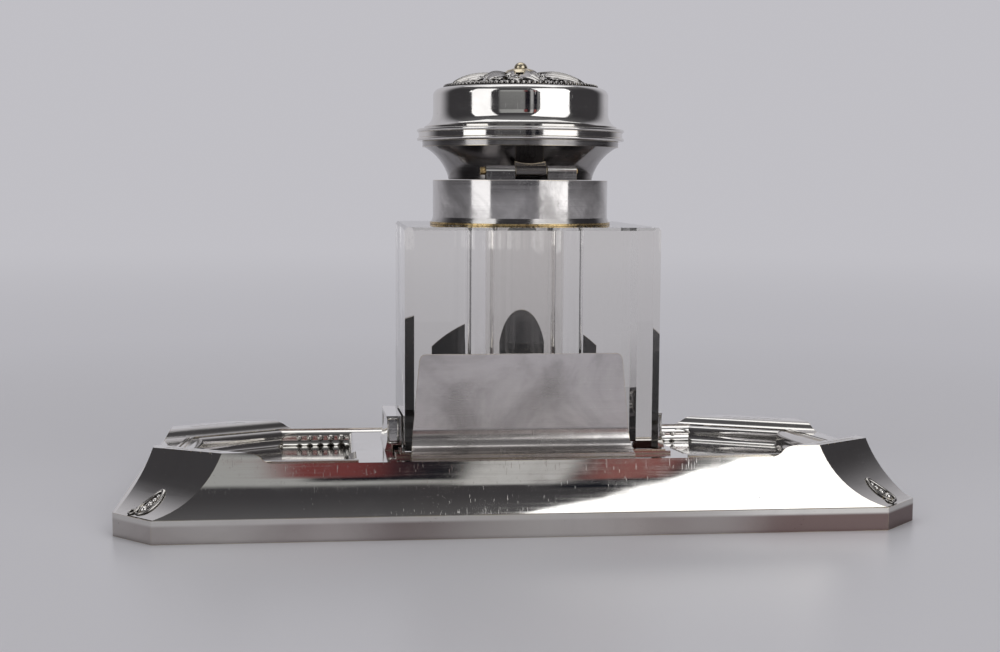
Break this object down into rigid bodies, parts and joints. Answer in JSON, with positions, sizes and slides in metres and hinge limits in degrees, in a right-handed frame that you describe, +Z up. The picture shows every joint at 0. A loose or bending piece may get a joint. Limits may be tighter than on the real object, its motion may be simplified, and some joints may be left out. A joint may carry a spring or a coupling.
{
  "type": "desk inkstand",
  "caption": "Silver plated desk inkstand: sloping tray base with a pen channel, and a lift-out cut glass inkwell with a hinged domed lid.",
  "frame": {"origin": "on the table under the middle of the base", "axes": "+Z up, -Y towards the writer, +Y the hinge side, +X the writer's right"},
  "size_m": [0.2156, 0.1182, 0.1267],
  "materials": {
    "silver_plate": "polished silver plate with fine scratches, dark tarnish in the recesses and warm wear on the edges",
    "tarnished_silver": "dark tarnished plate",
    "tinned_sheet": "dull tinned sheet",
    "steel_screw": "plain steel",
    "brass": "aged brass",
    "gilt": "worn gilt on silver",
    "cut_glass": "clear cut glass, faintly grey, polished",
    "cement": "off-white plaster cement",
    "leather": "thin brown leather",
    "felt": "dark green felt"
  },
  "bodies": {
    "stand": {"base_shell": "silver_plate", "closing_panel": "tinned_sheet", "felt_sheet": "felt", "screw_bosses": "tinned_sheet", "panel_screws": "steel_screw", "glass_well": "silver_plate", "glass_bed": "leather", "rear_plate": "silver_plate", "front_plate": "silver_plate", "left_bracket": "silver_plate", "right_bracket": "silver_plate"},
    "inkwell": {"glass_block": "cut_glass", "collar_washer": "brass", "collar_cement": "cement", "collar": "silver_plate", "hinge_lower_leaf": "silver_plate", "hinge_pin": "brass"},
    "lid": {"hinge_upper_leaf": "tarnished_silver", "lid_neck": "silver_plate", "lid_lining": "brass", "lid_band": "silver_plate", "lid_drum": "silver_plate", "lid_top": "silver_plate", "lid_finial": "gilt"}
  },
  "joints": [
    {"name": "inkwell_lift", "type": "slide", "parent": "stand", "child": "inkwell", "axis": [0, 0, 1], "range_m": [0, 0.05]},
    {"name": "lid_hinge", "type": "hinge", "parent": "inkwell", "child": "lid", "pos_m": [-0.0036, 0.0286, 0.0952], "axis": [-1, 0, 0], "range_deg": [0, 100]}
  ]
}
